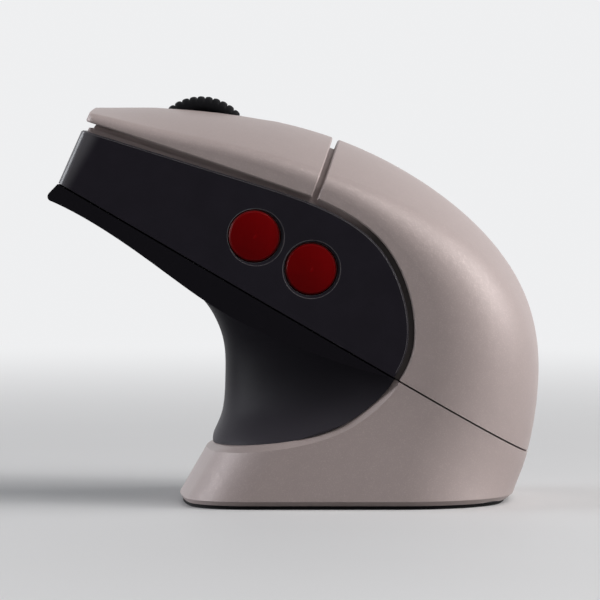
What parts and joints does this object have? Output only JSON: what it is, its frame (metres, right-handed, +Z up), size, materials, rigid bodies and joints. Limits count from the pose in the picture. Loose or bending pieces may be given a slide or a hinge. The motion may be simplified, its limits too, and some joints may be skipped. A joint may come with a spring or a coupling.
{
  "type": "wireless computer mouse",
  "caption": "Right-handed wireless mouse with thumb buttons and ribbed scroll wheel, resting nose up on a sloping charging stand with a hollowed neck.",
  "frame": {"origin": "centre of the bounding box's underside, on the table under the stand's foot", "axes": "+X towards the rear of the mouse, so its nose points to -X and up; -Y is the side with the two thumb buttons; +Z up"},
  "size_m": [0.1074, 0.0678, 0.0892],
  "materials": {
    "light_shell": "satin",
    "frame_shell": "satin",
    "dark_shell": "satin",
    "red_cap": "satin",
    "black_rubber": "matte",
    "black_plastic": "matte",
    "white_plastic": "satin",
    "clear_plastic": "polished",
    "circuit_board": "satin",
    "steel": "bright",
    "cast_weight": "matte",
    "gold_contact": "polished",
    "cell_foil": "satin",
    "lead_sheath": "matte"
  },
  "bodies": {
    "stand": {"stand_base": "light_shell", "stand_neck": "dark_shell", "cradle_plate": "black_plastic", "contact_block": "black_plastic", "stand_magnets": "steel", "contact_lead": "lead_sheath", "stand_board": "circuit_board", "stand_socket": "steel", "ballast": "cast_weight", "bottom_plate": "black_plastic", "base_screws": "steel", "neck_screws": "steel", "rubber_foot": "black_rubber"},
    "contact_pins": {"contact_pins": "gold_contact"},
    "mouse": {"mouse_tub": "dark_shell", "rear_shell": "light_shell", "mid_frame": "frame_shell", "button_hinge_pin": "steel", "carrier_guides": "black_plastic", "wheel_click_switch": "black_plastic", "click_switches": "black_plastic", "side_board": "circuit_board", "side_switches": "black_plastic", "main_board": "circuit_board", "board_screws": "steel", "case_screws": "steel", "optical_sensor": "black_plastic", "sensor_lens": "clear_plastic", "battery": "cell_foil", "mouse_socket": "steel", "mode_switch": "black_plastic", "pairing_switch": "black_plastic", "charging_pads": "gold_contact", "mouse_magnets": "steel", "glide_feet": "white_plastic"},
    "left_button": {"left_button": "light_shell"},
    "right_button": {"right_button": "light_shell"},
    "left_click_plunger": {"left_click_plunger": "white_plastic"},
    "right_click_plunger": {"right_click_plunger": "white_plastic"},
    "wheel_carrier": {"wheel_carrier": "black_plastic", "wheel_encoder": "black_plastic"},
    "wheel": {"wheel_hub": "black_plastic", "wheel_tyre": "black_rubber", "wheel_axle": "steel"},
    "wheel_click_plunger": {"wheel_click_plunger": "white_plastic"},
    "forward_button": {"forward_button": "red_cap"},
    "back_button": {"back_button": "red_cap"},
    "forward_switch_plunger": {"forward_switch_plunger": "white_plastic"},
    "back_switch_plunger": {"back_switch_plunger": "white_plastic"},
    "mode_slider": {"mode_slider": "black_plastic"},
    "pairing_button": {"pairing_button": "black_plastic"}
  },
  "joints": [
    {"name": "mouse_lift", "type": "slide", "parent": "stand", "child": "mouse", "axis": [0.5, 0, 0.866], "range_m": [0, 0.08]},
    {"name": "pins_press", "type": "slide", "parent": "stand", "child": "contact_pins", "axis": [-0.5, 0, -0.866], "range_m": [0, 0.0006], "stiffness_N_per_m": 500, "springref_m": -0.0005},
    {"name": "left_click", "type": "hinge", "parent": "mouse", "child": "left_button", "pos_m": [-0.00025, 0, 0.07192], "axis": [0, -1, 0], "range_deg": [0, 0.6], "stiffness_Nm_per_rad": 1.2, "springref_deg": -0.57},
    {"name": "right_click", "type": "hinge", "parent": "mouse", "child": "right_button", "pos_m": [-0.00025, 0, 0.07192], "axis": [0, -1, 0], "range_deg": [0, 0.6], "stiffness_Nm_per_rad": 1.2, "springref_deg": -0.57},
    {"name": "left_plunger_press", "type": "slide", "parent": "mouse", "child": "left_click_plunger", "axis": [-0.5, 0, -0.866], "range_m": [0, 0.0004]},
    {"name": "right_plunger_press", "type": "slide", "parent": "mouse", "child": "right_click_plunger", "axis": [-0.5, 0, -0.866], "range_m": [0, 0.0004]},
    {"name": "wheel_click", "type": "slide", "parent": "mouse", "child": "wheel_carrier", "axis": [-0.5, 0, -0.866], "range_m": [0, 0.0004], "stiffness_N_per_m": 1500, "springref_m": -0.0003},
    {"name": "wheel_spin", "type": "hinge", "parent": "wheel_carrier", "child": "wheel", "pos_m": [-0.0211, 0, 0.07761], "axis": [0, 1, 0], "continuous": true},
    {"name": "wheel_plunger_press", "type": "slide", "parent": "mouse", "child": "wheel_click_plunger", "axis": [-0.5, 0, -0.866], "range_m": [0, 0.0004]},
    {"name": "forward_press", "type": "slide", "parent": "mouse", "child": "forward_button", "axis": [0, 1, 0], "range_m": [0, 0.0005], "stiffness_N_per_m": 1000, "springref_m": -0.0003},
    {"name": "back_press", "type": "slide", "parent": "mouse", "child": "back_button", "axis": [0, 1, 0], "range_m": [0, 0.0005], "stiffness_N_per_m": 1000, "springref_m": -0.0003},
    {"name": "forward_plunger_press", "type": "slide", "parent": "mouse", "child": "forward_switch_plunger", "axis": [0, 1, 0], "range_m": [0, 0.0005]},
    {"name": "back_plunger_press", "type": "slide", "parent": "mouse", "child": "back_switch_plunger", "axis": [0, 1, 0], "range_m": [0, 0.0005]},
    {"name": "mode_slide", "type": "slide", "parent": "mouse", "child": "mode_slider", "axis": [0.866, 0, -0.5], "range_m": [0, 0.004]},
    {"name": "pairing_press", "type": "slide", "parent": "mouse", "child": "pairing_button", "axis": [0.5, 0, 0.866], "range_m": [0, 0.00025], "stiffness_N_per_m": 1000, "springref_m": -0.0003}
  ],
  "couplings": [
    {"joint": "left_plunger_press", "follows": "left_click", "m_per_rad": 0.0315},
    {"joint": "right_plunger_press", "follows": "right_click", "m_per_rad": 0.0315},
    {"joint": "wheel_plunger_press", "follows": "wheel_click", "ratio": 1},
    {"joint": "forward_plunger_press", "follows": "forward_press", "ratio": 1},
    {"joint": "back_plunger_press", "follows": "back_press", "ratio": 1}
  ]
}
